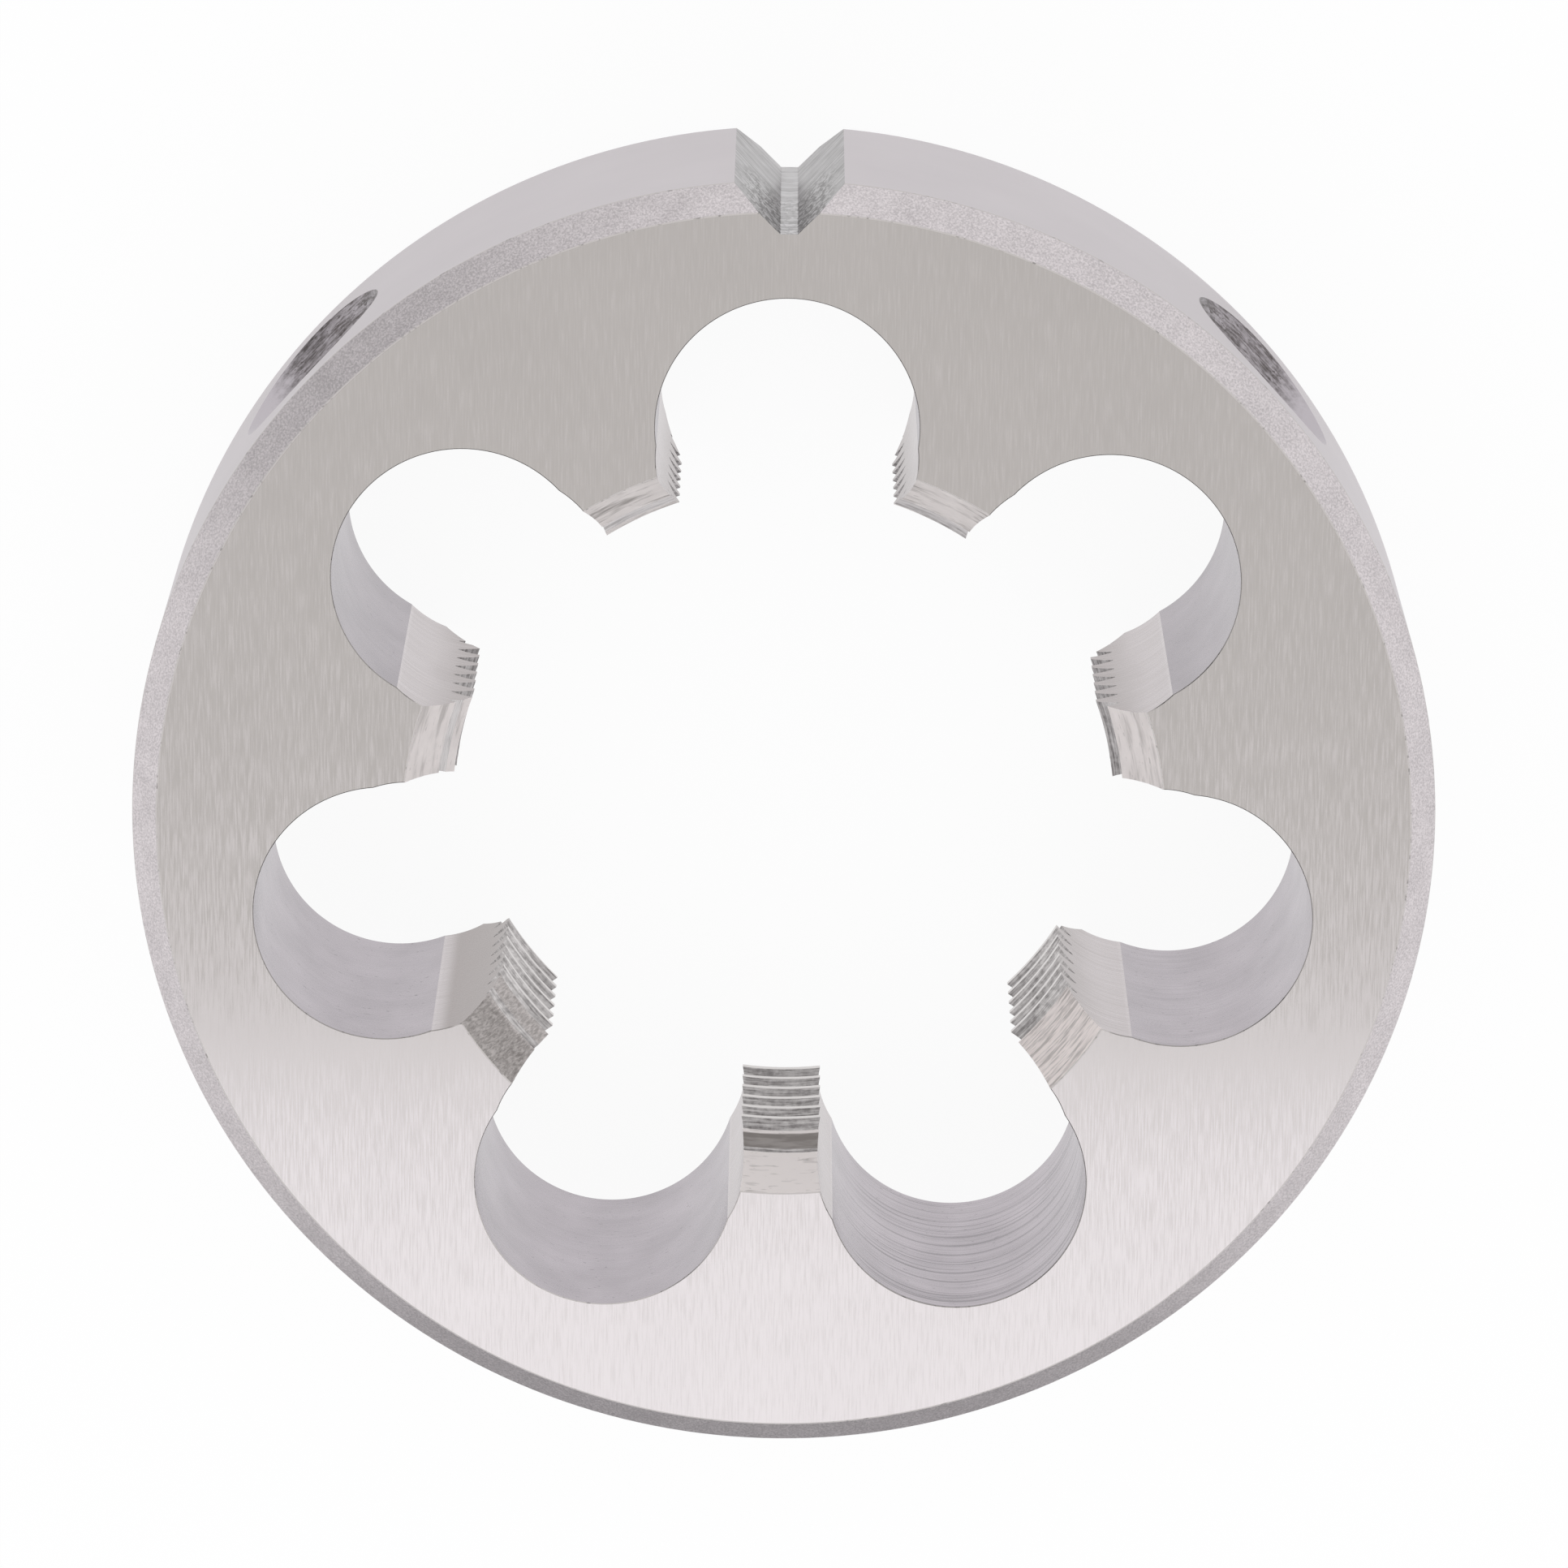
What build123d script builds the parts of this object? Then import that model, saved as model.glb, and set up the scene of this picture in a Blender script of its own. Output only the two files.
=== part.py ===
from build123d import *

import math
import os

# Round threading die: one piece of hardened high speed steel.
#
# It lies flat on its back face, with the origin at the centre of that face, the thread axis
# along +Z and the V notch of the rim towards +Y. The front face, where the work enters, is up.
# All sizes are in millimetres and degrees.

# Blank: a disc with the same bevel on both edges of its rim.
outer_diameter = 75.0
thickness = 20.0
rim_bevel_radial = 1.5
rim_bevel_axial = 1.7

# Where the turned surfaces start and end round the axis, clear of the notch and the seats.
seam_angle = -27.0

# Cutting thread: a right-hand metric profile, cut on the inner ends of the lands.
thread_minor_diameter = 38.2
thread_depth = 1.25
thread_pitch = 2.0
thread_flank_angle = 60.0
thread_root_flat = 0.1
thread_start_angle = -110.0
right_hand = True

# Lead-in cones, which open the thread at both faces: how far each mouth reaches past the crests.
front_cone_reach = 2.8
back_cone_reach = 2.2
cone_angle = 60.0

# Chip pockets: a ring of bores, each opened to the thread by two ground rake faces. The ring
# of their centres lies outside the thread's crests.
pocket_count = 7
pocket_centre_reach = 4.45
pocket_diameter = 15.0
land_width = 4.6
rake_angle = 20.0
rake_radius = 5.9

# Rim: one V notch at +Y, and two conical seats for the stock's screws.
notch_angle = 90.0
notch_depth = 2.75
notch_floor_width = 1.0
seat_offset_angle = 47.7
seat_cone_angle = 90.0
seat_depth = 6.0

# How far a cutting tool reaches past the material.
tool_overrun = 2.0

outer_radius = outer_diameter / 2
minor_radius = thread_minor_diameter / 2
middle_height = thickness / 2
pocket_centre_radius = minor_radius + pocket_centre_reach
pocket_step = 360.0 / pocket_count

# The groove is cut into solid metal: the bore starts smaller than the crests, the flanks of the
# groove run on half as far, widened by half the crests' flat, and the bore is finished last.
flank_slope = math.tan(math.radians(thread_flank_angle / 2))
half_root = thread_root_flat / 2
half_mouth = half_root + thread_depth * flank_slope
crest_flat = thread_pitch - 2 * half_mouth
flank_overrun = crest_flat / 4 / flank_slope
rough_bore_radius = minor_radius - 2 * flank_overrun


def blank():
    """The bevelled disc, turned from its half section."""
    half_section = Polyline(
        (0, 0),
        (outer_radius - rim_bevel_radial, 0),
        (outer_radius, rim_bevel_axial),
        (outer_radius, thickness - rim_bevel_axial),
        (outer_radius - rim_bevel_radial, thickness),
        (0, thickness),
        close=True,
    )
    return Rot(0, 0, seam_angle) * revolve(Plane.XZ * make_face(half_section), Axis.Z)


def lead_in_cone(reach):
    """A cone with its mouth at z = 0, wider than the crests by reach, narrowing downwards to them."""
    slope = math.tan(math.radians(cone_angle / 2))
    cone_depth = reach / slope
    overrun_radius = minor_radius + reach + tool_overrun * slope
    half_section = Polyline(
        (0, tool_overrun),
        (overrun_radius, tool_overrun),
        (minor_radius, -cone_depth),
        (0, -cone_depth),
        close=True,
    )
    return revolve(Plane.XZ * make_face(half_section), Axis.Z)


def bore(radius):
    """A plain hole through the blank."""
    height = thickness + 2 * tool_overrun
    return Pos(0, 0, middle_height) * Cylinder(radius, height)


def thread_groove():
    """The V groove between the crests, swept along its helix past both faces."""
    half_open = half_mouth + crest_flat / 4
    root_radius = minor_radius + thread_depth
    inner_radius = minor_radius - flank_overrun
    start_height = -1.5 * thread_pitch
    profile = Polyline(
        (inner_radius, start_height - half_open),
        (root_radius, start_height - half_root),
        (root_radius, start_height + half_root),
        (inner_radius, start_height + half_open),
        close=True,
    )
    height = thickness + 3 * thread_pitch
    helix = Pos(0, 0, start_height) * Helix(thread_pitch, height, minor_radius, lefthand=not right_hand)
    groove = sweep(Plane.XZ * make_face(profile), path=helix, is_frenet=True)
    return Rot(0, 0, thread_start_angle) * groove


def pocket_cutter():
    """One chip pocket at +Y: its bore, and a smaller wheel's arc on each side for the rake faces."""
    height = thickness + 2 * tool_overrun
    crest_angle = pocket_step / 2 - math.degrees(math.asin(land_width / 2 / minor_radius))
    face_angle = math.radians(crest_angle + rake_angle)
    crest_x = minor_radius * math.sin(math.radians(crest_angle))
    crest_y = minor_radius * math.cos(math.radians(crest_angle))
    wheel_x = crest_x - rake_radius * math.cos(face_angle)
    wheel_y = crest_y + rake_radius * math.sin(face_angle)
    cutter = Pos(0, pocket_centre_radius, middle_height) * Cylinder(pocket_diameter / 2, height)
    for side in (-1, 1):
        cutter += Pos(side * wheel_x, wheel_y, middle_height) * Cylinder(rake_radius, height)
    return cutter


def notch_cutter():
    """The V notch with its narrow flat floor, open on the rim at +Y."""
    slope = math.tan(math.radians(notch_angle / 2))
    half_floor = notch_floor_width / 2
    half_mouth = half_floor + (notch_depth + tool_overrun) * slope
    floor_y = outer_radius - notch_depth
    mouth_y = outer_radius + tool_overrun
    profile = Polyline(
        (-half_floor, floor_y),
        (half_floor, floor_y),
        (half_mouth, mouth_y),
        (-half_mouth, mouth_y),
        close=True,
    )
    return Pos(0, 0, -tool_overrun) * extrude(make_face(profile), thickness + 2 * tool_overrun)


def seat_cutter(angle):
    """One conical seat in the rim, its axis square to the thread's and turned from +Y by angle."""
    slope = math.tan(math.radians(seat_cone_angle / 2))
    length = seat_depth + tool_overrun
    cone = Cone(0, length * slope, length, align=(Align.CENTER, Align.CENTER, Align.MIN))
    in_place = Pos(0, outer_radius - seat_depth, middle_height) * Rot(-90, 0, 0) * cone
    return Rot(0, 0, angle) * in_place


def threading_die():
    """The whole die: the blank opened into lands, the thread, the finished bore, then the rim's cuts."""
    die = blank() - bore(rough_bore_radius)
    for index in range(pocket_count):
        die -= Rot(0, 0, index * pocket_step) * pocket_cutter()
    die -= Pos(0, 0, thickness) * lead_in_cone(front_cone_reach)
    die -= Rot(180, 0, 0) * lead_in_cone(back_cone_reach)
    die -= thread_groove()
    die -= bore(minor_radius)
    die -= notch_cutter()
    for angle in (-seat_offset_angle, seat_offset_angle):
        die -= seat_cutter(angle)
    return die


os.makedirs("parts", exist_ok=True)
export_step(threading_die(), "parts/threading_die.step")
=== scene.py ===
"""Looks of the round threading die: a finely modelled copy of the die, dressed in its shop finishes.

The die is turned from a ring, then cut as in the shop: chip pockets, thread, notch and seats are
boolean cuts, and each cutter leaves its own finish on the faces that it makes. Lengths are metres,
but for the places that the finishes work with, which are millimetres.
"""

from __future__ import annotations

import logging
import math
from dataclasses import dataclass, field
from enum import Enum, auto
from typing import Any, Callable, Iterable, Sequence

import bpy
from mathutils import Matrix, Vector

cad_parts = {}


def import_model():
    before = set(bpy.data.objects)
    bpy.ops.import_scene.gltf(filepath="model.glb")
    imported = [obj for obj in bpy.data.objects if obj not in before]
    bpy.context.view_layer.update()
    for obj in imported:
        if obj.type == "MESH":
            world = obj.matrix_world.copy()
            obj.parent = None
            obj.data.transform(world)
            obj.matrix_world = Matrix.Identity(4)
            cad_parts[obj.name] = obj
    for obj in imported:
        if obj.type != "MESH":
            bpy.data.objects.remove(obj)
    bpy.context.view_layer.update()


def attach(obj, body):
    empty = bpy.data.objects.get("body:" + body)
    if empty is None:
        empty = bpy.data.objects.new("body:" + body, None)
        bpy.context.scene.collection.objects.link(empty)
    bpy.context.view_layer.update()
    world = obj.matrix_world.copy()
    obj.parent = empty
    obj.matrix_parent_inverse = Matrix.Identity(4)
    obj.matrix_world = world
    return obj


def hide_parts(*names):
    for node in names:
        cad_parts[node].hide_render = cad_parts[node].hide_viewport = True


LOG = logging.getLogger("threading_die")
MM = 0.001
UPRIGHT = math.radians(90.0)
# How far round the rim from the notch each seat is.
SEAT_BEARING = math.radians(47.7)
# How far a cutter stands out of the die.
OVERRUN = 2.0 * MM

Triple = tuple[float, float, float]
Colour = tuple[float, float, float]
# Where a band starts and where it is full.
Span = tuple[float, float]


class Finish(Enum):
    """The finishes on the die, in the order of its material slots."""

    FACE = 0
    BEVEL = auto()
    RIM = auto()
    POCKET = auto()
    RAKE = auto()
    FLANK = auto()
    CREST = auto()
    CONE = auto()
    NOTCH = auto()
    SEAT = auto()
    EDGE = auto()


# ---------------------------------------------------------------------------------------------
# Bench: selections, modifiers and cuts
# ---------------------------------------------------------------------------------------------


class Bench:
    """The bench that pieces are made on: one piece at a time is taken up and worked."""

    @staticmethod
    def clear() -> None:
        """Leaves nothing selected and no piece in edit mode."""
        if bpy.context.mode != "OBJECT":
            bpy.ops.object.mode_set(mode="OBJECT")
        bpy.ops.object.select_all(action="DESELECT")

    @staticmethod
    def take(piece: bpy.types.Object) -> None:
        """Makes one piece the only selected and the active one.

        Args:
            piece: The piece to take up.
        """
        Bench.clear()
        piece.select_set(True)
        bpy.context.view_layer.objects.active = piece

    @staticmethod
    def add(
        operator: Callable[..., Any], stretch: Triple = (1.0, 1.0, 1.0), **settings: Any
    ) -> bpy.types.Object:
        """Adds a primitive, with its size, turn and place in its mesh.

        Args:
            operator: The operator that adds it.
            stretch: How much larger it is made along each of its own axes.
            settings: The operator's settings by name.

        Returns:
            The new piece.
        """
        Bench.clear()
        operator(**settings)
        piece = bpy.context.object
        piece.scale = stretch
        Bench.settle(piece)
        return piece

    @staticmethod
    def edit(piece: bpy.types.Object, wanted: Callable[[Vector], bool] | None = None) -> None:
        """Opens a piece in edit mode, with all or some of its vertices selected.

        Args:
            piece: The piece to open.
            wanted: Says of a vertex's place whether it is selected. Without it, all are.
        """
        Bench.take(piece)
        bpy.ops.object.mode_set(mode="EDIT")
        bpy.ops.mesh.select_mode(type="VERT")
        bpy.ops.mesh.select_all(action="SELECT")
        if wanted is None:
            return
        bpy.ops.mesh.select_all(action="DESELECT")
        Bench.close()
        for vertex in piece.data.vertices:
            vertex.select = wanted(vertex.co)
        bpy.ops.object.mode_set(mode="EDIT")

    @staticmethod
    def close() -> None:
        """Returns to object mode."""
        bpy.ops.object.mode_set(mode="OBJECT")

    @staticmethod
    def tidy(piece: bpy.types.Object, gap: float = 0.001 * MM) -> None:
        """Merges a piece's doubled vertices and turns its faces outwards.

        Args:
            piece: The piece to tidy.
            gap: The distance under which two vertices are one.
        """
        Bench.edit(piece)
        bpy.ops.mesh.remove_doubles(threshold=gap)
        bpy.ops.mesh.normals_make_consistent(inside=False)
        Bench.close()

    @staticmethod
    def settle(piece: bpy.types.Object) -> None:
        """Moves a piece's turn, size and place from its object into its mesh."""
        Bench.take(piece)
        bpy.ops.object.transform_apply(location=True, rotation=True, scale=True)

    @staticmethod
    def work(piece: bpy.types.Object, kind: str, **settings: Any) -> None:
        """Puts a modifier on a piece and applies it.

        Args:
            piece: The piece to work.
            kind: The modifier's type.
            settings: The modifier's settings by name.
        """
        Bench.take(piece)
        modifier = piece.modifiers.new(kind.lower(), kind)
        for name, value in settings.items():
            setattr(modifier, name, value)
        bpy.ops.object.modifier_apply(modifier=modifier.name)

    @staticmethod
    def cut(piece: bpy.types.Object, cutter: bpy.types.Object, operation: str = "DIFFERENCE") -> None:
        """Cuts a piece with a cutter, or joins the two, and throws the cutter away.

        Args:
            piece: The piece that stays.
            cutter: The closed shape that is used up.
            operation: The boolean operation's name.
        """
        Bench.work(piece, "BOOLEAN", operation=operation, object=cutter, solver="MANIFOLD")
        bpy.data.objects.remove(cutter)

    @staticmethod
    def copy(piece: bpy.types.Object, turn: float) -> bpy.types.Object:
        """Copies a piece with a mesh of its own, turned about the die's axis.

        Args:
            piece: The piece to copy.
            turn: The turn in radians, counterclockwise from above.

        Returns:
            The copy, with its turn in its mesh.
        """
        Bench.take(piece)
        bpy.ops.object.duplicate(linked=False)
        twin = bpy.context.object
        twin.rotation_euler.z = turn
        Bench.settle(twin)
        return twin


class Wardrobe:
    """The materials of every finish, put on a piece as its slots."""

    def __init__(self, materials: dict[Finish, bpy.types.Material]) -> None:
        """Keeps the material of each finish."""
        self.materials = materials

    def dress(self, piece: bpy.types.Object, finish: Finish) -> None:
        """Gives a piece every slot, and one finish all over.

        Args:
            piece: The piece to dress.
            finish: The finish of all its faces.
        """
        piece.data.materials.clear()
        for name in Finish:
            piece.data.materials.append(self.materials[name])
        for face in piece.data.polygons:
            face.material_index = finish.value


# ---------------------------------------------------------------------------------------------
# Shader maths
# ---------------------------------------------------------------------------------------------


class Level:
    """A number that varies over the surface. Arithmetic on it adds Math nodes."""

    def __init__(self, paint: "Paint", socket: bpy.types.NodeSocket) -> None:
        """Wraps an output socket of a material's node tree."""
        self.paint = paint
        self.socket = socket

    def math(self, operation: str, *others: "Level | float") -> "Level":
        """Adds one Math node and returns its result."""
        values = dict(enumerate((self, *others)))
        return self.paint.node("ShaderNodeMath", {"operation": operation}, values).level()

    def __add__(self, other: "Level | float") -> "Level":
        """self + other."""
        return self.math("ADD", other)

    __radd__ = __add__

    def __mul__(self, other: "Level | float") -> "Level":
        """self * other."""
        return self.math("MULTIPLY", other)

    __rmul__ = __mul__

    def __sub__(self, other: "Level | float") -> "Level":
        """self - other."""
        return self.math("SUBTRACT", other)

    def __rsub__(self, other: float) -> "Level":
        """other - self."""
        return self.math("MULTIPLY", -1.0).math("ADD", other)

    def __truediv__(self, other: "Level | float") -> "Level":
        """self / other."""
        return self.math("DIVIDE", other)

    def size(self) -> "Level":
        """The number without its sign."""
        return self.math("ABSOLUTE")

    def root(self) -> "Level":
        """The square root."""
        return self.math("SQRT")

    def band(self, start: float, full: float) -> "Level":
        """Runs smoothly from 0 at one value to 1 at another, which may be the lower one.

        Args:
            start: The value at which the band starts.
            full: The value at which it is full.

        Returns:
            The band, which stays at 0 before its start and at 1 past its full value.
        """
        ends = {"From Min": start, "From Max": full}
        if start > full:
            ends = {"From Min": full, "From Max": start, "To Min": 1.0, "To Max": 0.0}
        settings = {"interpolation_type": "SMOOTHSTEP"}
        return self.paint.node("ShaderNodeMapRange", settings, {"Value": self, **ends}).level()

    def between(self, low: float, high: float) -> "Level":
        """Stretches the range from 0 to 1 to that from low to high."""
        return self * (high - low) + low

    def towards(self, other: "Level | float", share: "Level") -> "Level":
        """self where the share is 0, and other where it is 1."""
        return self * (1.0 - share) + other * share


class Node:
    """A node that has just been added, with short ways to its outputs."""

    def __init__(self, paint: "Paint", node: bpy.types.Node) -> None:
        """Keeps the node and the paint it belongs to."""
        self.paint = paint
        self.node = node

    def out(self, name: str | int = 0) -> bpy.types.NodeSocket:
        """The output socket of that name or number."""
        return self.node.outputs[name]

    def level(self, name: str | int = 0) -> Level:
        """An output as a number for arithmetic."""
        return Level(self.paint, self.out(name))


@dataclass
class Place:
    """Where a point of the die is, in millimetres, with its direction from the thread's axis."""

    x: Level
    y: Level
    z: Level
    radius: Level
    cosine: Level
    sine: Level

    def steps(self, x: float, y: float, z: float) -> tuple[Level, Level, Level]:
        """The place counted in steps of a grain, with so many a millimetre along each axis."""
        return self.x * x, self.y * y, self.z * z

    def around(self, steps: float) -> tuple[Level, Level]:
        """The direction from the axis counted in steps of a grain, with so many a radian."""
        return self.cosine * steps, self.sine * steps


class Paint:
    """A material's node tree, and the few ways in which nodes are added to it."""

    def __init__(self, name: str) -> None:
        """Starts a material with a bare node tree.

        Args:
            name: The material's name.
        """
        self.material = bpy.data.materials.new(name)
        self.material.use_nodes = True
        self.tree = self.material.node_tree
        self.tree.nodes.clear()

    def node(self, kind: str, settings: dict[str, Any], values: dict[Any, Any]) -> Node:
        """Adds a node.

        Args:
            kind: The node's type.
            settings: Its settings by name, which are set first.
            values: What its input sockets take, by name or number: a number, a colour, a
                socket, or a level.

        Returns:
            The new node.
        """
        made = self.tree.nodes.new(kind)
        for name, setting in settings.items():
            setattr(made, name, setting)
        for name, value in values.items():
            socket = made.inputs[name]
            if isinstance(value, Level):
                self.tree.links.new(value.socket, socket)
            elif isinstance(value, bpy.types.NodeSocket):
                self.tree.links.new(value, socket)
            else:
                socket.default_value = value
        return Node(self, made)

    def place(self) -> Place:
        """Finds where the surface point is.

        Returns:
            Its place on the die.
        """
        where = self.node("ShaderNodeTexCoord", {}, {}).out("Object")
        split = self.node("ShaderNodeSeparateXYZ", {}, {0: where})
        x, y, z = (split.level(index) * (1 / MM) for index in range(3))
        radius = (x * x + y * y).root()
        return Place(x, y, z, radius, x / radius, y / radius)

    def grain(self, across: Sequence[Level | float], detail: float = 2.0, rough: float = 0.5) -> Level:
        """Noise of mean about a half over three coordinates, one step wide where they change by 1.

        Args:
            across: The three coordinates.
            detail: How many finer layers the noise has.
            rough: How strong each finer layer is.

        Returns:
            The noise, from 0 to 1.
        """
        joined = self.node("ShaderNodeCombineXYZ", {}, dict(enumerate(across))).out()
        values = {"Vector": joined, "Scale": 1.0, "Detail": detail, "Roughness": rough}
        return self.node("ShaderNodeTexNoise", {}, values).level("Fac")

    def mix(self, factor: Level, low: Colour, high: Colour) -> bpy.types.NodeSocket:
        """Mixes two colours by a factor and returns the colour's socket."""
        values = {"Factor": factor, 6: (*low, 1.0), 7: (*high, 1.0)}
        return self.node("ShaderNodeMix", {"data_type": "RGBA"}, values).out(2)

    def diffuse(self, grey: float) -> bpy.types.NodeSocket:
        """A matt grey shader."""
        return self.node("ShaderNodeBsdfDiffuse", {}, {"Color": (grey, grey, grey, 1.0)}).out()

    def output(self, shader: bpy.types.NodeSocket) -> bpy.types.Material:
        """Ends the tree with its shader and returns the material."""
        self.node("ShaderNodeOutputMaterial", {}, {"Surface": shader})
        return self.material


# ---------------------------------------------------------------------------------------------
# Finishes
# ---------------------------------------------------------------------------------------------


@dataclass
class Marks:
    """What a tool left on the steel: how light, how rough and how high each point is."""

    tone: Level
    roughness: Level
    height: Level


@dataclass(frozen=True)
class SteelFinish:
    """Bare steel with the marks of one tool. Each finish says how its own marks run.

    The sizes of a finish are millimetres. Its spans say where a mark starts and where it is
    full, in millimetres or in the cosine or sine of the direction from the thread's axis.
    """

    name: str
    light: Colour
    dark: Colour
    relief: float = 0.002 * MM

    def marks(self, paint: Paint, at: Place) -> Marks:
        """Draws the tool's marks. Each finish has its own."""
        raise NotImplementedError

    def material(self) -> bpy.types.Material:
        """Makes the material: metal whose colour, roughness and relief follow the marks.

        Returns:
            The material.
        """
        paint = Paint(self.name)
        marks = self.marks(paint, paint.place())
        bump = {"Height": marks.height, "Distance": self.relief, "Strength": 1.0}
        surface = {
            "Base Color": paint.mix(marks.tone, self.dark, self.light),
            "Metallic": 1.0,
            "Roughness": marks.roughness,
            "Normal": paint.node("ShaderNodeBump", {}, bump).out(),
        }
        return paint.output(paint.node("ShaderNodeBsdfPrincipled", {}, surface).out())


@dataclass(frozen=True)
class BrushedFace(SteelFinish):
    """A face ground along Y: fine straight scratches, with faint cloudy patches."""

    def marks(self, paint: Paint, at: Place) -> Marks:
        """Draws long scratches along Y over a cloudy ground.

        Args:
            paint: The material's node tree.
            at: The surface point's place.

        Returns:
            The marks.
        """
        fine = paint.grain(at.steps(11.0, 0.5, 1.0), 2.0, 0.6)
        broad = paint.grain(at.steps(1.6, 0.05, 1.0), 1.0)
        cloud = paint.grain(at.steps(0.12, 0.12, 0.1), 2.0)
        tone = fine * 0.35 + broad * 0.1 + cloud * 0.3 + 0.125
        return Marks(tone, fine.band(0.35, 0.75).between(0.09, 0.25), fine + broad * 0.2)


@dataclass(frozen=True)
class BlastedBevel(SteelFinish):
    """A bevel with a matt grain, and painted shade at -Y and at -X, +Y."""

    front_shade_sine: Span = (-0.6, -0.95)
    corner_shade_cosine: Span = (0.0, -0.5)
    corner_shade_sine: Span = (0.3, 0.7)

    def marks(self, paint: Paint, at: Place) -> Marks:
        """Draws a fine grain of one size, under painted shade at -Y and at -X, +Y.

        Args:
            paint: The material's node tree.
            at: The surface point's place.

        Returns:
            The marks.
        """
        grit = paint.grain(at.steps(8.0, 8.0, 8.0), 3.0, 0.7)
        patch = paint.grain(at.steps(0.5, 0.5, 0.5), 1.0)
        # Painted shade: the bevel is darkened at -Y and at -X, +Y.
        front = at.sine.band(*self.front_shade_sine)
        corner = at.cosine.band(*self.corner_shade_cosine) * at.sine.band(*self.corner_shade_sine)
        tone = grit.band(0.32, 0.68) * 0.65 + patch * 0.35 - (front * 0.26 + corner * 0.24)
        return Marks(tone, grit.between(0.38, 0.53), grit)


@dataclass(frozen=True)
class TurnedBand(SteelFinish):
    """A surface turned about the thread's axis: fine rings, a little uneven round the die."""

    lines: float = 6.0
    stretch: float = 5.0
    smooth: float = 0.22

    def marks(self, paint: Paint, at: Place) -> Marks:
        """Draws rings at a steady height over a cloudy ground.

        Args:
            paint: The material's node tree.
            at: The surface point's place.

        Returns:
            The marks.
        """
        rings = paint.grain((*at.around(self.stretch), at.z * self.lines), 2.0, 0.6)
        cloud = paint.grain(at.steps(0.15, 0.15, 0.15), 2.0)
        return Marks(rings * 0.6 + cloud * 0.4, rings * 0.15 + self.smooth, rings)


@dataclass(frozen=True)
class BoredWall(SteelFinish):
    """A bored wall: feed lines at a steady height, torn deeper in the pocket at +X, -Y, darker at +Y."""

    lines: float = 6.0
    torn_x: Span = (2.0, 6.0)
    torn_y: Span = (-12.0, -16.0)
    darker_y: Span = (2.0, 9.0)

    def marks(self, paint: Paint, at: Place) -> Marks:
        """Draws feed lines that fade in and out round the wall, over faint stains.

        Args:
            paint: The material's node tree.
            at: The surface point's place.

        Returns:
            The marks.
        """
        feed = paint.grain(at.steps(0.035, 0.035, self.lines), 3.0, 0.75)
        scored = paint.grain(at.steps(0.04, 0.04, 2.8), 3.0, 0.8)
        fade = paint.grain(at.steps(0.12, 0.12, 0.05), 1.0).band(0.35, 0.65)
        stain = paint.grain(at.steps(0.3, 0.3, 0.25), 2.0)
        speck = paint.grain(at.steps(2.5, 2.5, 5.0), 2.0, 0.6).band(0.26, 0.34)
        torn = at.x.band(*self.torn_x) * at.y.band(*self.torn_y)
        cut = torn * 0.5 + fade * 0.1
        deep = 1.0 - (1.0 - scored.band(0.4, 0.47)) * cut
        even = feed.band(0.3, 0.7) * torn.between(0.12, 0.27) + stain * 0.4 + 0.37 - torn * 0.03
        # Darker at +Y.
        darkening = at.y.band(*self.darker_y)
        tone = even * deep * speck.between(0.4, 1.0) * (1.0 - darkening * 0.2)
        return Marks(tone, feed.between(0.2, 0.34), feed * (fade + torn) * 0.5 + deep)


@dataclass(frozen=True)
class GroundRake(SteelFinish):
    """A ground rake face: painted highlight at its pocket border, painted shade towards the teeth."""

    border: float = 23.64
    teeth: float = 19.6
    shade_patch_x: Span = (-15.0, -16.5)
    shade_patch_y: Span = (-7.0, -9.0)
    shade_patch_radius: Span = (23.44, 22.6)

    def marks(self, paint: Paint, at: Place) -> Marks:
        """Draws grinding lines under painted shade, a painted border highlight and a painted shade patch.

        Args:
            paint: The material's node tree.
            at: The surface point's place.

        Returns:
            The marks.
        """
        lines = paint.grain(at.steps(0.15, 0.15, 7.0), 2.0, 0.7)
        stain = paint.grain(at.steps(0.35, 0.35, 0.2), 2.0)
        # Painted shade: darker and browner towards the teeth, where the rake meets the thread.
        shade = (at.radius + stain * 1.6 - 0.8).band(self.teeth, self.border - 1.2)
        # Painted highlight: a light line just inside the border with the pocket.
        border_highlight = at.radius.band(self.border - 0.22, self.border - 0.1)
        # Painted shade: a dark patch on the rake at -X, -Y.
        shade_patch = at.x.band(*self.shade_patch_x) * at.y.band(*self.shade_patch_y) * at.radius.band(*self.shade_patch_radius)
        tone = shade * 0.4 + lines.band(0.3, 0.7) * 0.35 + border_highlight * stain * 0.2 + 0.12
        return Marks(tone * (1.0 - shade_patch * 0.8), lines.between(0.2, 0.32), lines)


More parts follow.
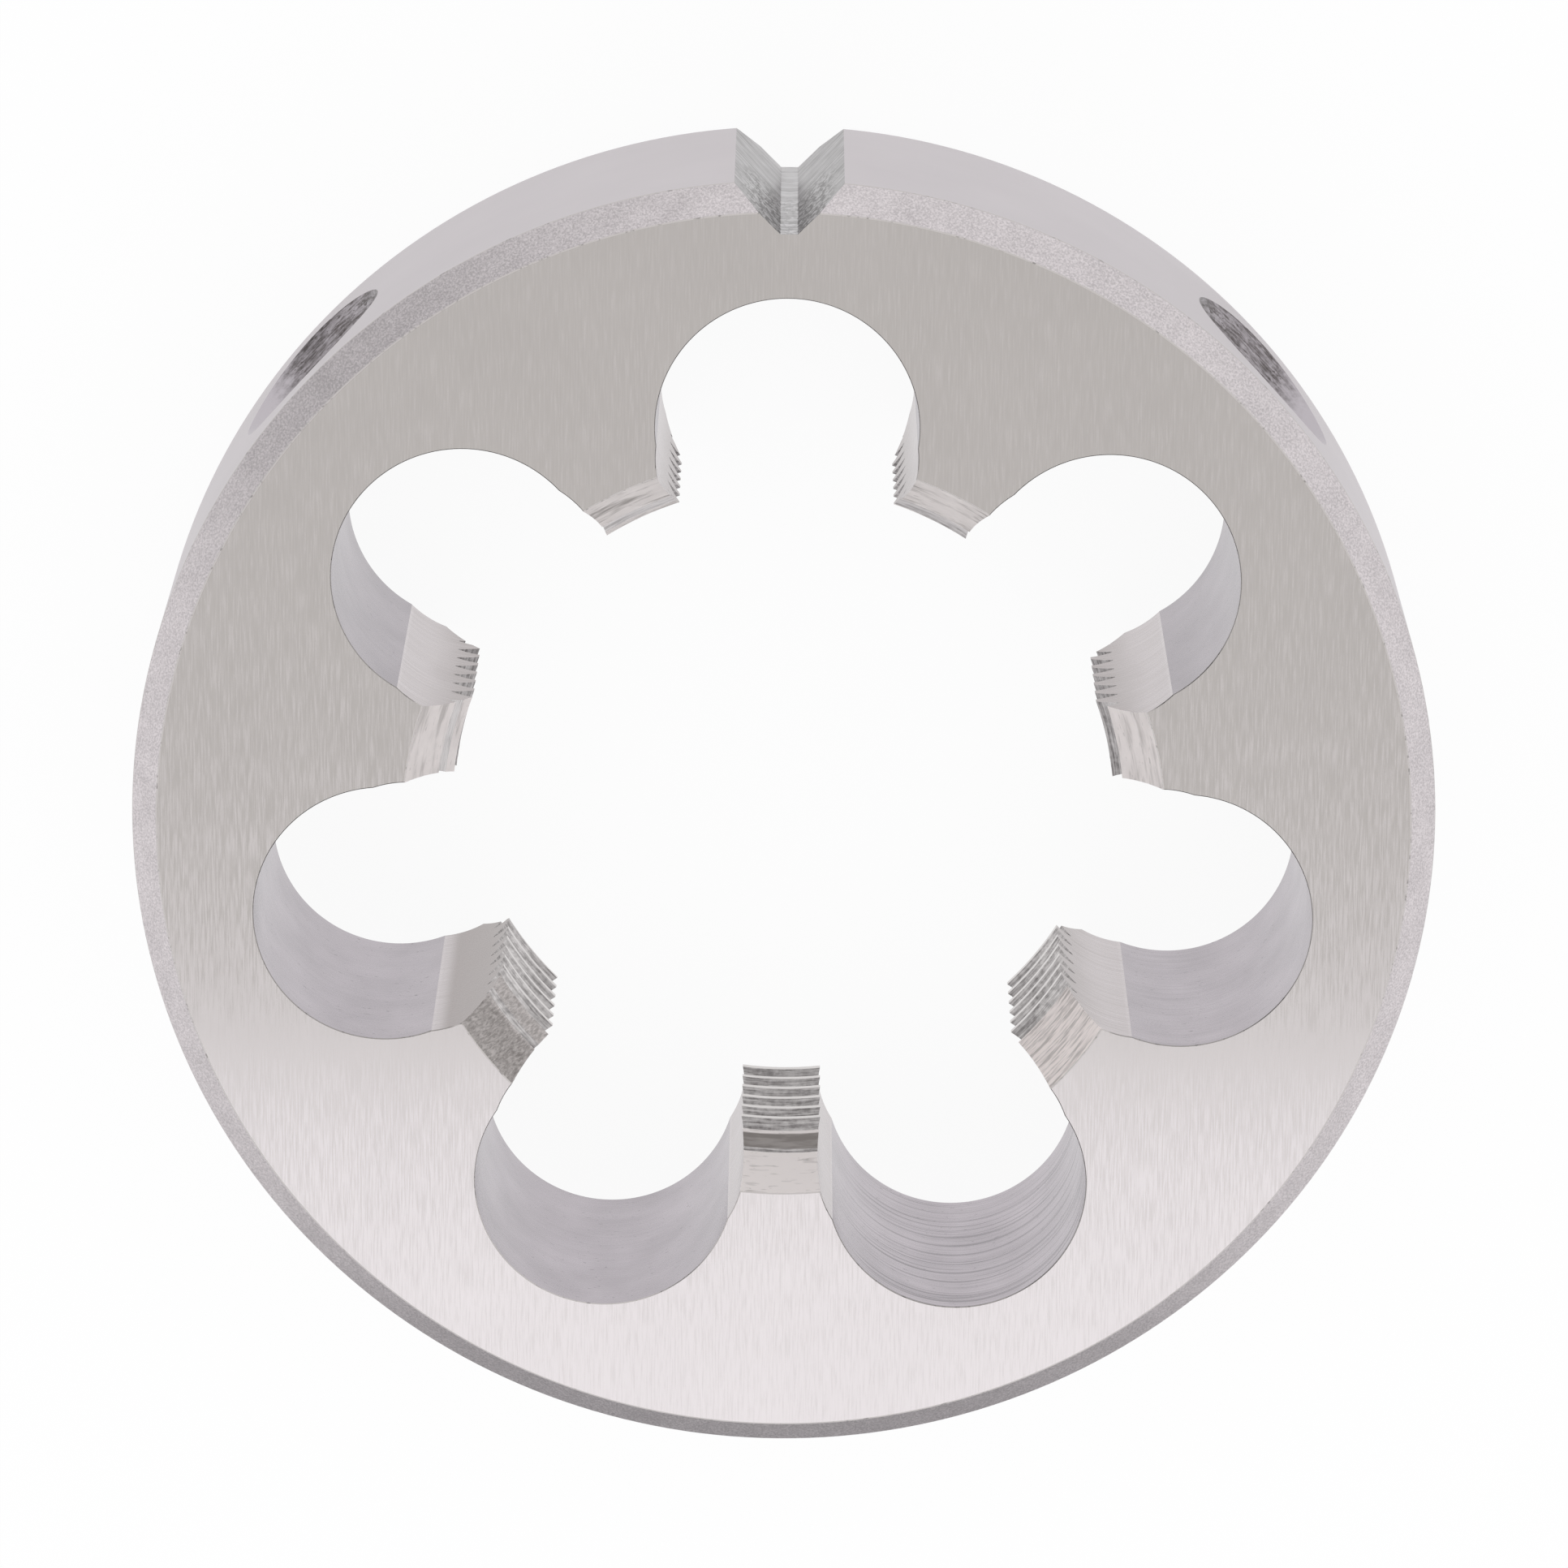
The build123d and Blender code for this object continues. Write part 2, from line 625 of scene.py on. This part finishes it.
@dataclass(frozen=True)
class CutFlank(SteelFinish):
    """A torn, streaky thread flank, with the streaks running along the thread.

    It is torn most on the two lands beside the lowest one. The flank nearest the front is
    cleaner on all lands but these three.
    """

    clean_z: Span = (15.0, 15.6)
    clean_sine: Span = (-0.5, -0.4)
    torn_sine: Span = (-0.45, -0.6)
    beside: Span = (-0.1, 0.5)

    def marks(self, paint: Paint, at: Place) -> Marks:
        """Draws streaks along the thread over a blotchy ground.

        Args:
            paint: The material's node tree.
            at: The surface point's place.

        Returns:
            The marks.
        """
        streaks = paint.grain((*at.around(9.0), at.radius * 7.0 + at.z * 3.5), 3.0, 0.7)
        blotch = paint.grain(at.steps(2.6, 2.6, 2.6), 3.0, 0.65)
        torn = (at.cosine.size() + at.sine).band(*self.beside) * at.sine.band(*self.torn_sine)
        clean = at.z.band(*self.clean_z) * at.sine.band(*self.clean_sine)
        tone = streaks.band(0.32, 0.68) * 0.5 + blotch.band(0.3, 0.7) * torn.between(0.22, 0.52)
        tone = (tone + torn * 0.33 + 0.06).towards(streaks.band(0.3, 0.6).between(0.48, 0.88), clean)
        return Marks(tone, streaks.between(0.3, 0.5), streaks + blotch)


@dataclass(frozen=True)
class TurnedCone(SteelFinish):
    """A turned cone: fine rings and specks, torn on the land at -X, -Y and scored on that at +X, -Y.

    The step is where the first thread cuts the cone off from its inner end. There the land at -Y
    is streaked. The cone has painted shade at +Y and painted light at -Y, and the scored land's
    tone is raised as painted light.
    """

    step: float = 20.25
    lower_sine: Span = (-0.45, -0.55)
    torn_cosine: Span = (-0.6, -0.72)
    scored_and_lit_cosine: Span = (0.6, 0.72)
    shaded_upper_sine: Span = (0.6, 0.85)
    lit_front_sine: Span = (-0.93, -0.96)
    streaked_radius: Span = (19.5, 19.58)

    def inner(self, at: Place) -> Level:
        """1 on the inner end, 0 elsewhere."""
        return at.radius.band(self.step + 0.05, self.step - 0.05)

    def clean_tone(self, paint: Paint, at: Place, rings: Level, patch: Level) -> Level:
        """Tones the cone where it is neither torn nor scored, with painted shade and painted light.

        Args:
            paint: The material's node tree.
            at: The surface point's place.
            rings: The turned rings.
            patch: The patches under them.

        Returns:
            The tone.
        """
        speck = paint.grain(at.steps(1.4, 1.4, 5.0), 2.0, 0.6).band(0.28, 0.36)
        # Painted shade darkens the cone at +Y, and painted light brightens it at -Y.
        shaded_upper = at.sine.band(*self.shaded_upper_sine)
        lit_front = at.sine.band(*self.lit_front_sine)
        ticks = paint.grain((*at.around(8.0), (at.z - at.radius) * 7.0), 2.0, 0.7)
        ticks = ticks.band(0.44, 0.36) * lit_front
        tone = rings.band(0.3, 0.53) * shaded_upper.between(0.38, 0.68) + patch * 0.3
        tone = (tone + 0.42 - shaded_upper * 0.5 + lit_front * 0.26 - ticks * 0.4) * speck.between(0.7, 1.0)
        streaked = self.inner(at) * lit_front * at.radius.band(*self.streaked_radius)
        return tone.towards(rings.band(0.4, 0.6) * 0.2, streaked)

    def marks(self, paint: Paint, at: Place) -> Marks:
        """Draws rings along the cone, with a torn and a scored land.

        Args:
            paint: The material's node tree.
            at: The surface point's place.

        Returns:
            The marks.
        """
        across = at.z - at.radius
        rings = paint.grain((*at.around(5.0), across * 3.5), 3.0, 0.7)
        patch = paint.grain(at.steps(0.8, 0.8, 0.8), 2.0)
        scores = paint.grain((*at.around(7.0), across * 12.0), 3.0, 0.8).band(0.34, 0.58)
        rough = paint.grain((across * 3.5, at.x * 8.0 + at.z * 3.0, at.y * 8.0), 3.0, 0.75).band(0.3, 0.7)
        lower = at.sine.band(*self.lower_sine)
        torn = lower * at.cosine.band(*self.torn_cosine)
        scored = lower * at.cosine.band(*self.scored_and_lit_cosine)
        tone = self.clean_tone(paint, at, rings, patch)
        tone = tone.towards(rough * 0.5 + patch * 0.3 + self.inner(at) * 0.2 - 0.1, torn)
        # The scored land: real scores over a tone that is raised as painted light.
        tone = tone.towards(scores * 0.5 + patch * 0.25 + 0.42, scored)
        return Marks(tone, rings * 0.1 + scored * 0.25 + 0.54, rings + rough * torn + scores * scored)


@dataclass(frozen=True)
class MilledNotch(SteelFinish):
    """A notch milled across the rim: feed lines at a steady height, torn at the front of its floor."""

    floor: float = 34.75
    floor_edge: Span = (0.44, 0.5)
    torn_z: Span = (7.0, 13.0)

    def marks(self, paint: Paint, at: Place) -> Marks:
        """Draws feed lines over blotches, and a torn patch where the floor meets the front.

        Args:
            paint: The material's node tree.
            at: The surface point's place.

        Returns:
            The marks.
        """
        side = at.x.size()
        lines = paint.grain((side * 0.25, at.y * 0.25, (at.z + side * 0.4) * 3.2), 3.0, 0.7)
        blotch = paint.grain(at.steps(0.9, 0.9, 0.5), 2.0, 0.6)
        chips = paint.grain(at.steps(3.0, 3.0, 2.0), 2.0, 0.7).band(0.46, 0.52)
        wall = side.band(*self.floor_edge)
        torn = at.z.band(*self.torn_z) * (at.y + blotch * 0.8).band(self.floor + 3.2, self.floor + 1.6)
        torn = torn * wall.between(0.4, 1.0)
        tone = lines.band(0.3, 0.66) * 0.6 + blotch * 0.45 + (1.0 - wall) * 0.18
        tone = (tone + torn * 0.1) * (1.0 - (1.0 - chips) * torn * 0.95)
        return Marks(tone, lines.between(0.28, 0.43), lines + chips * torn)


@dataclass(frozen=True)
class DrilledSeat(SteelFinish):
    """A conical seat: rings about the seat's own axis, dark and chipped towards the notch."""

    height: float = 10.0
    away_from_notch: Span = (1.2, 4.4)

    def marks(self, paint: Paint, at: Place) -> Marks:
        """Draws rings about the axis of the nearer seat, fading to an even tone away from the notch.

        Args:
            paint: The material's node tree.
            at: The surface point's place.

        Returns:
            The marks.
        """
        aside = at.x.size() * math.cos(SEAT_BEARING) - at.y * math.sin(SEAT_BEARING)
        rise = at.z - self.height
        reach = (aside * aside + rise * rise).root()
        rings = paint.grain((reach * 6.0, aside * 0.5, rise * 0.5), 3.0, 0.75)
        blotch = paint.grain(at.steps(3.0, 3.0, 3.0), 3.0, 0.7)
        chips = paint.grain((reach * 9.0, aside * 1.6, rise * 1.6), 2.0, 0.7).band(0.32, 0.4)
        # Lighter and even away from the notch, darker towards it.
        away_from_notch = (aside + blotch * 2.0 - 1.0).band(*self.away_from_notch)
        dark = rings.band(0.36, 0.64) * 0.45 + blotch.band(0.3, 0.75) * 0.2
        tone = (dark * chips.between(0.2, 1.0)).towards(0.74, away_from_notch)
        return Marks(tone, rings.between(0.3, 0.45), rings + chips * (1.0 - away_from_notch))


@dataclass(frozen=True)
class BrokenEdge(SteelFinish):
    """The narrow broken edge: a little nicked, darker round most pockets, with painted highlights."""

    highlight_outside_radius: Span = (32.5, 34.5)
    highlight_inside_radius: Span = (22.6, 22.2)
    highlight_x: Span = (4.0, -4.0)
    highlight_y: Span = (-13.0, -17.0)

    def marks(self, paint: Paint, at: Place) -> Marks:
        """Draws small nicks along the edge, lighter in places as painted highlights.

        Args:
            paint: The material's node tree.
            at: The surface point's place.

        Returns:
            The marks.
        """
        nicks = paint.grain(at.steps(2.0, 2.0, 2.0), 2.0, 0.7)
        # Painted highlights: the edge is lighter near the rim, near the bore and by the pocket at -X, -Y.
        light = at.radius.band(*self.highlight_outside_radius) + at.radius.band(*self.highlight_inside_radius)
        light = light + at.x.band(*self.highlight_x) * at.y.band(*self.highlight_y)
        tone = nicks.band(0.3, 0.45) * light.between(0.4, 0.65) + light * 0.35 + 0.05
        return Marks(tone, nicks.between(0.25, 0.35), nicks)


FINISHES: dict[Finish, SteelFinish] = {
    Finish.FACE: BrushedFace("ground_face", (0.515, 0.486, 0.468), (0.425, 0.40, 0.385), 0.0004 * MM),
    Finish.BEVEL: BlastedBevel("blasted_bevel", (0.82, 0.77, 0.785), (0.46, 0.43, 0.44), 0.012 * MM),
    Finish.RIM: TurnedBand(
        "turned_rim", (0.69, 0.65, 0.67), (0.57, 0.533, 0.554), 0.001 * MM, smooth=0.38
    ),
    Finish.POCKET: BoredWall("bored_pocket", (0.61, 0.555, 0.60), (0.13, 0.115, 0.13), 0.003 * MM),
    Finish.RAKE: GroundRake("ground_rake", (0.67, 0.62, 0.635), (0.30, 0.26, 0.25), 0.001 * MM),
    Finish.FLANK: CutFlank("cut_flank", (0.70, 0.675, 0.67), (0.10, 0.09, 0.09), 0.004 * MM),
    Finish.CREST: TurnedBand("thread_crest", (0.76, 0.73, 0.72), (0.60, 0.57, 0.56), 0.001 * MM),
    Finish.CONE: TurnedCone("turned_cone", (0.97, 0.925, 0.91), (0.34, 0.315, 0.30), 0.003 * MM),
    Finish.NOTCH: MilledNotch("milled_notch", (0.62, 0.605, 0.615), (0.14, 0.13, 0.13), 0.004 * MM),
    Finish.SEAT: DrilledSeat("drilled_seat", (0.70, 0.655, 0.70), (0.09, 0.078, 0.075), 0.004 * MM),
    Finish.EDGE: BrokenEdge("broken_edge", (0.56, 0.53, 0.52), (0.15, 0.14, 0.135)),
}


# ---------------------------------------------------------------------------------------------
# The die
# ---------------------------------------------------------------------------------------------


@dataclass(frozen=True)
class LeadInCone:
    """A cone that opens the thread at one face."""

    reach: float
    angle: float = math.radians(60.0)

    @property
    def depth(self) -> float:
        """How deep the cone goes before it meets the crests."""
        return self.reach / math.tan(self.angle / 2)


@dataclass
class Blank:
    """The turned ring: faces, bevelled rim, lead-in cones and the plain bore at the crests."""

    wardrobe: Wardrobe
    outer_radius: float = 37.5 * MM
    thickness: float = 20.0 * MM
    bevel_radial: float = 1.5 * MM
    bevel_axial: float = 1.7 * MM
    bore_radius: float = 19.1 * MM
    front_cone: LeadInCone = LeadInCone(2.8 * MM)
    back_cone: LeadInCone = LeadInCone(2.2 * MM)
    broken: float = 0.05 * MM
    steps: int = 256

    def corners(self) -> list[tuple[float, float, Finish]]:
        """Finds the corners of the ring's section.

        Returns:
            Each corner's radius and height, with the finish of the band that leads there.
        """
        face_radius = self.outer_radius - self.bevel_radial
        top = self.thickness
        return [
            (self.bore_radius, self.back_cone.depth, Finish.CREST),
            (self.bore_radius + self.back_cone.reach, 0.0, Finish.CONE),
            (face_radius, 0.0, Finish.FACE),
            (self.outer_radius, self.bevel_axial, Finish.BEVEL),
            (self.outer_radius, top - self.bevel_axial, Finish.RIM),
            (face_radius, top, Finish.BEVEL),
            (self.bore_radius + self.front_cone.reach, top, Finish.FACE),
            (self.bore_radius, top - self.front_cone.depth, Finish.CONE),
        ]

    def section(self) -> list[tuple[float, float, Finish]]:
        """Breaks every corner of the section with a narrow chamfer, but for the thread's own.

        Returns:
            The points of the section, set out as the corners are.
        """
        corners = self.corners()
        points: list[tuple[float, float, Finish]] = []
        for index, (radius, height, finish) in enumerate(corners):
            after = corners[(index + 1) % len(corners)]
            if radius == self.bore_radius:
                points.append((radius, height, finish))
                continue
            for towards, band in ((corners[index - 1], finish), (after, Finish.EDGE)):
                share = self.broken / math.dist((radius, height), towards[:2])
                place = [here + (there - here) * share for here, there in zip((radius, height), towards)]
                points.append((*place, band))
        return points

    def build(self) -> bpy.types.Object:
        """Turns the ring: one circle, extruded and scaled from band to band, and closed.

        Returns:
            The ring, with its finishes.
        """
        bands = self.section()
        radius, height, _ = bands[0]
        ring = Bench.add(
            bpy.ops.mesh.primitive_circle_add,
            vertices=self.steps,
            radius=radius,
            fill_type="NOTHING",
            location=(0, 0, height),
        )
        self.wardrobe.dress(ring, Finish.CREST)
        Bench.edit(ring)
        for next_radius, next_height, _ in bands[1:] + bands[:1]:
            bpy.ops.mesh.extrude_edges_move(
                TRANSFORM_OT_translate={"value": (0, 0, next_height - height)}
            )
            scale = next_radius / radius
            bpy.ops.transform.resize(value=(scale, scale, 1), center_override=(0, 0, next_height))
            radius, height = next_radius, next_height
        Bench.close()
        Bench.tidy(ring)
        self.paint_bands(ring)
        return ring

    def paint_bands(self, ring: bpy.types.Object) -> None:
        """Gives each band of the ring its finish, by the middle of the band.

        Args:
            ring: The turned ring.
        """
        bands = self.section()
        ends = list(zip(bands, bands[1:] + bands[:1]))
        middles = [((a[0] + b[0]) / 2, (a[1] + b[1]) / 2, b[2]) for a, b in ends]
        for face in ring.data.polygons:
            place = (math.hypot(*face.center.xy), face.center.z)
            nearest = min(middles, key=lambda band: math.dist(place, band[:2]))
            face.material_index = nearest[2].value


@dataclass
class ChipPockets:
    """The ring of chip pockets, each bored and then opened to the thread by two rake faces."""

    wardrobe: Wardrobe
    blank: Blank
    count: int = 7
    centre_reach: float = 4.45 * MM
    radius: float = 7.5 * MM
    land_width: float = 4.6 * MM
    rake: float = math.radians(20.0)
    wheel_radius: float = 5.9 * MM
    steps: int = 128

    def cylinder(self, x: float, y: float, radius: float, finish: Finish) -> bpy.types.Object:
        """Makes one upright cylinder through the die, flared at both faces to break the edges there.

        Args:
            x: The X of its axis.
            y: The Y of its axis.
            radius: Its radius between the flares.
            finish: The finish that it leaves.

        Returns:
            The cylinder.
        """
        middle = self.blank.thickness / 2
        reach = middle - self.blank.broken
        flare = self.blank.broken + OVERRUN
        made = Bench.add(
            bpy.ops.mesh.primitive_cylinder_add,
            vertices=self.steps,
            radius=radius,
            depth=2 * reach,
            location=(x, y, middle),
        )
        scale = (radius + flare) / radius
        for side in (1, -1):
            Bench.edit(made, lambda place: (place.z - middle) * side > reach / 2)
            bpy.ops.mesh.select_mode(type="FACE")
            bpy.ops.mesh.extrude_region_move(TRANSFORM_OT_translate={"value": (0, 0, side * flare)})
            bpy.ops.transform.resize(value=(scale, scale, 1), center_override=(x, y, middle))
            Bench.close()
        self.wardrobe.dress(made, finish)
        for face in made.data.polygons:
            if abs(face.center.z - middle) > reach:
                face.material_index = Finish.EDGE.value
        return made

    def cutter(self) -> bpy.types.Object:
        """Makes the cutter of the pocket at +Y: its bore and the two rake wheels.

        Returns:
            The cutter.
        """
        crest = self.blank.bore_radius
        crest_angle = math.pi / self.count - math.asin(self.land_width / 2 / crest)
        wheel_x = crest * math.sin(crest_angle) - self.wheel_radius * math.cos(crest_angle + self.rake)
        wheel_y = crest * math.cos(crest_angle) + self.wheel_radius * math.sin(crest_angle + self.rake)
        bore = self.cylinder(0.0, crest + self.centre_reach, self.radius, Finish.POCKET)
        for side in (-1, 1):
            wheel = self.cylinder(side * wheel_x, wheel_y, self.wheel_radius, Finish.RAKE)
            Bench.cut(bore, wheel, "UNION")
        return bore

    def cut(self, die: bpy.types.Object) -> None:
        """Cuts every pocket into the die.

        Args:
            die: The piece that is cut.
        """
        cutter = self.cutter()
        for index in range(self.count):
            Bench.cut(die, Bench.copy(cutter, index * 2 * math.pi / self.count))
        bpy.data.objects.remove(cutter)


@dataclass
class CuttingThread:
    """The right-hand V groove on the inner ends of the lands.

    Its cutter starts at a bearing, some turns below the die, and stands in from the crests.
    """

    wardrobe: Wardrobe
    blank: Blank
    pitch: float = 2.0 * MM
    depth: float = 1.25 * MM
    flank_angle: float = math.radians(60.0)
    root_flat: float = 0.1 * MM
    bearing: float = math.radians(-110.0)
    below: float = 1.5
    inner: float = 0.18 * MM
    steps: int = 240

    def cutter(self) -> bpy.types.Object:
        """Makes the groove's cutter: its V section, screwed up through the die and closed at both ends.

        Returns:
            The cutter.
        """
        width = self.depth + self.inner
        root = self.blank.bore_radius + self.depth
        mouth = self.root_flat + 2 * width * math.tan(self.flank_angle / 2)
        low = -self.below * self.pitch
        section = Bench.add(
            bpy.ops.mesh.primitive_plane_add,
            stretch=(width, self.root_flat, 1.0),
            size=1.0,
            location=(root - width / 2, 0, low),
            rotation=(UPRIGHT, 0, 0),
        )
        Bench.edit(section, lambda place: place.x < root - width / 2)
        spread = mouth / self.root_flat
        bpy.ops.transform.resize(value=(1, 1, spread), center_override=(root - width, 0, low))
        bpy.ops.mesh.select_all(action="SELECT")
        bpy.ops.mesh.delete(type="ONLY_FACE")
        Bench.close()
        Bench.work(
            section,
            "SCREW",
            axis="Z",
            angle=2 * math.pi,
            screw_offset=self.pitch,
            iterations=math.ceil(self.blank.thickness / self.pitch + 2 * self.below),
            steps=self.steps,
            render_steps=self.steps,
            use_merge_vertices=False,
        )
        Bench.edit(section)
        bpy.ops.mesh.fill_holes(sides=4)
        Bench.close()
        Bench.tidy(section)
        section.rotation_euler.z = self.bearing
        Bench.settle(section)
        self.wardrobe.dress(section, Finish.FLANK)
        return section

    def cut(self, die: bpy.types.Object) -> None:
        """Cuts the groove into the lands."""
        Bench.cut(die, self.cutter())


@dataclass
class RimNotch:
    """The V notch across the rim at +Y, with its narrow flat floor and sides at 45 degrees."""

    wardrobe: Wardrobe
    blank: Blank
    depth: float = 2.75 * MM
    floor: float = 1.0 * MM

    def cut(self, die: bpy.types.Object) -> None:
        """Cuts the notch: a bar over the rim, its inner side narrowed to the floor's width.

        Args:
            die: The piece that is cut.
        """
        height = self.depth + OVERRUN
        mouth = self.floor + 2 * height
        middle = self.blank.outer_radius - self.depth + height / 2
        bar = Bench.add(
            bpy.ops.mesh.primitive_cube_add,
            stretch=(mouth, height, self.blank.thickness + 2 * OVERRUN),
            size=1.0,
            location=(0, middle, self.blank.thickness / 2),
        )
        Bench.edit(bar, lambda place: place.y < middle)
        narrow = self.floor / mouth
        bpy.ops.transform.resize(value=(narrow, 1, 1), center_override=(0, 0, 0))
        Bench.close()
        self.wardrobe.dress(bar, Finish.NOTCH)
        Bench.cut(die, bar)


@dataclass
class ScrewSeats:
    """The two conical seats in the rim for the stock's screws."""

    wardrobe: Wardrobe
    blank: Blank
    bearing: float = SEAT_BEARING
    cone_angle: float = math.radians(90.0)
    depth: float = 6.0 * MM
    steps: int = 96

    def cut(self, die: bpy.types.Object) -> None:
        """Cuts a cone into the rim on each side of the notch.

        Args:
            die: The piece that is cut.
        """
        length = self.depth + OVERRUN
        middle = self.blank.outer_radius - self.depth + length / 2
        for side in (-1, 1):
            cone = Bench.add(
                bpy.ops.mesh.primitive_cone_add,
                vertices=self.steps,
                radius1=length * math.tan(self.cone_angle / 2),
                radius2=0.0,
                depth=length,
                location=(0, middle, self.blank.thickness / 2),
                rotation=(UPRIGHT, 0, 0),
            )
            cone.rotation_euler.z = side * self.bearing
            Bench.settle(cone)
            self.wardrobe.dress(cone, Finish.SEAT)
            Bench.cut(die, cone)


@dataclass
class ThreadingDie:
    """The whole die: the ring with all its cuts."""

    wardrobe: Wardrobe
    merge_gap: float = 0.004 * MM
    smooth_angle: float = math.radians(11.0)
    node: str = "threading_die"
    blank: Blank = field(init=False)

    def __post_init__(self) -> None:
        """Sets out the ring that the other sizes follow."""
        self.blank = Blank(self.wardrobe)

    def build(self) -> bpy.types.Object:
        """Makes the die.

        Returns:
            The finished piece, dressed and at the origin.
        """
        die = self.blank.build()
        for cuts in (ChipPockets, CuttingThread, RimNotch, ScrewSeats):
            cuts(self.wardrobe, self.blank).cut(die)
        Bench.tidy(die, self.merge_gap)
        Bench.take(die)
        bpy.ops.object.shade_smooth_by_angle(angle=self.smooth_angle)
        die.name = "round_threading_die"
        die.data.name = die.name
        return die


# ---------------------------------------------------------------------------------------------
# Studio
# ---------------------------------------------------------------------------------------------


@dataclass(frozen=True)
class SoftBox:
    """A large oblong lamp: where it is, what it looks at, its size and its strength."""

    name: str
    place: Triple
    target: Triple
    size: tuple[float, float]
    power: float
    colour: Colour = (1.0, 1.0, 1.0)

    def build(self) -> None:
        """Hangs the lamp."""
        lamp = bpy.data.lights.new(self.name, "AREA")
        lamp.shape = "RECTANGLE"
        lamp.size, lamp.size_y = self.size
        lamp.energy = self.power
        lamp.color = self.colour
        holder = bpy.data.objects.new(self.name, lamp)
        holder.location = self.place
        aim = Vector(self.target) - Vector(self.place)
        holder.rotation_euler = aim.to_track_quat("-Z", "Y").to_euler()
        bpy.context.scene.collection.objects.link(holder)


@dataclass(frozen=True)
class Flag:
    """A dark studio flag, fading out to its ends. Only the steel's reflections show it.

    The core is the share of its length that is full, on each side of its middle. With a fade of
    1, the flag also fades out across its width, towards -Y.
    """

    name: str
    place: Triple
    size: tuple[float, float]
    grey: float
    lean: float = 0.0
    turn: float = 0.0
    fade: float = 0.0
    core: float = 0.1

    def build(self) -> None:
        """Sets up the flag."""
        card = Bench.add(
            bpy.ops.mesh.primitive_plane_add,
            stretch=(*self.size, 1.0),
            size=1.0,
            location=self.place,
            rotation=(self.lean, 0, self.turn),
        )
        card.name = self.name
        card.data.materials.append(self.material())
        card.visible_camera = False
        card.visible_diffuse = False
        card.visible_shadow = False

    def material(self) -> bpy.types.Material:
        """Makes the flag's material, which clears towards its ends.

        Returns:
            The material.
        """
        paint = Paint(self.name)
        at = paint.place()
        length, width = (side / MM for side in self.size)
        x, y, _ = (value / MM for value in self.place)
        aside = (at.x - x) * math.cos(self.turn) + (at.y - y) * math.sin(self.turn)
        kept = aside.size().band(length / 2, length * self.core)
        kept = kept * (1.0 - self.fade * at.y.band(y, y - width / 2))
        clear = paint.node("ShaderNodeBsdfTransparent", {}, {}).out()
        shaders = {0: kept, 1: clear, 2: paint.diffuse(self.grey)}
        return paint.output(paint.node("ShaderNodeMixShader", {}, shaders).out())


LAMPS: tuple[SoftBox, ...] = (
    SoftBox("front_softbox", (0.0, -0.443, 0.62), (0.0, -0.443, 0.0), (1.0, 0.5), 1.38, (0.88, 0.88, 1.0)),
)
FLAGS: tuple[Flag, ...] = (
    Flag("front_flag", (-0.008, -0.15, 0.001), (0.24, 0.21), 0.28, fade=1.0),
    Flag("left_flag", (-0.48, 0.36, 0.22), (0.5, 0.4), 0.3, lean=UPRIGHT, turn=math.radians(53.0)),
)


@dataclass(frozen=True)
class Studio:
    """The camera, the pale floor, the lamps and the room."""

    camera_place: Triple = (0.0, 0.1321, 0.50447)
    tilt: float = 0.2610
    roll: float = 0.0093
    lens: float = 200.96
    sensor: float = 36.0
    clip_start: float = 0.01
    floor_size: float = 6.0
    floor_grey: float = 0.85
    floor_glow: float = 0.93
    room: Colour = (1.0, 1.0, 1.0)
    room_level: float = 1.0

    def build(self) -> None:
        """Sets up the whole studio."""
        self.place_camera()
        self.lay_floor()
        self.light_room()
        for fitting in (*LAMPS, *FLAGS):
            fitting.build()
        bpy.context.scene.view_settings.view_transform = "Standard"

    def place_camera(self) -> None:
        """Puts up the camera, tilted forward over the notch side of the die."""
        camera = bpy.data.cameras.new("camera")
        camera.lens = self.lens
        camera.sensor_width = self.sensor
        camera.clip_start = self.clip_start
        holder = bpy.data.objects.new("camera", camera)
        holder.location = self.camera_place
        holder.rotation_mode = "ZYX"
        holder.rotation_euler = (-self.tilt, 0.0, self.roll)
        bpy.context.scene.collection.objects.link(holder)
        bpy.context.scene.camera = holder

    def lay_floor(self) -> None:
        """Lays a wide white floor, which shows white and keeps a soft shadow."""
        floor = Bench.add(bpy.ops.mesh.primitive_plane_add, size=self.floor_size)
        floor.name = "floor"
        paint = Paint("white_floor")
        rays = paint.node("ShaderNodeLightPath", {}, {})
        shown = rays.level("Is Camera Ray")
        for kind in ("Is Glossy Ray", "Is Transmission Ray"):
            shown = shown.math("MAXIMUM", rays.level(kind))
        glow = paint.node("ShaderNodeEmission", {}, {"Color": (1, 1, 1, 1), "Strength": 1.0}).out()
        shaders = {0: shown * self.floor_glow, 1: paint.diffuse(self.floor_grey), 2: glow}
        floor.data.materials.append(paint.output(paint.node("ShaderNodeMixShader", {}, shaders).out()))

    def light_room(self) -> None:
        """Lights the room evenly."""
        world = bpy.data.worlds.new("room")
        world.use_nodes = True
        ground = world.node_tree.nodes["Background"]
        ground.inputs["Color"].default_value = (*self.room, 1.0)
        ground.inputs["Strength"].default_value = self.room_level
        bpy.context.scene.world = world


def main() -> None:
    """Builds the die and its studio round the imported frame."""
    logging.basicConfig(level=logging.INFO, format="%(message)s")
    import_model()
    Studio().build()
    wardrobe = Wardrobe({name: finish.material() for name, finish in FINISHES.items()})
    maker = ThreadingDie(wardrobe)
    die = maker.build()
    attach(die, "root")
    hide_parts(maker.node)
    LOG.info("%s: %d faces", die.name, len(die.data.polygons))


if __name__ == "__main__":
    main()
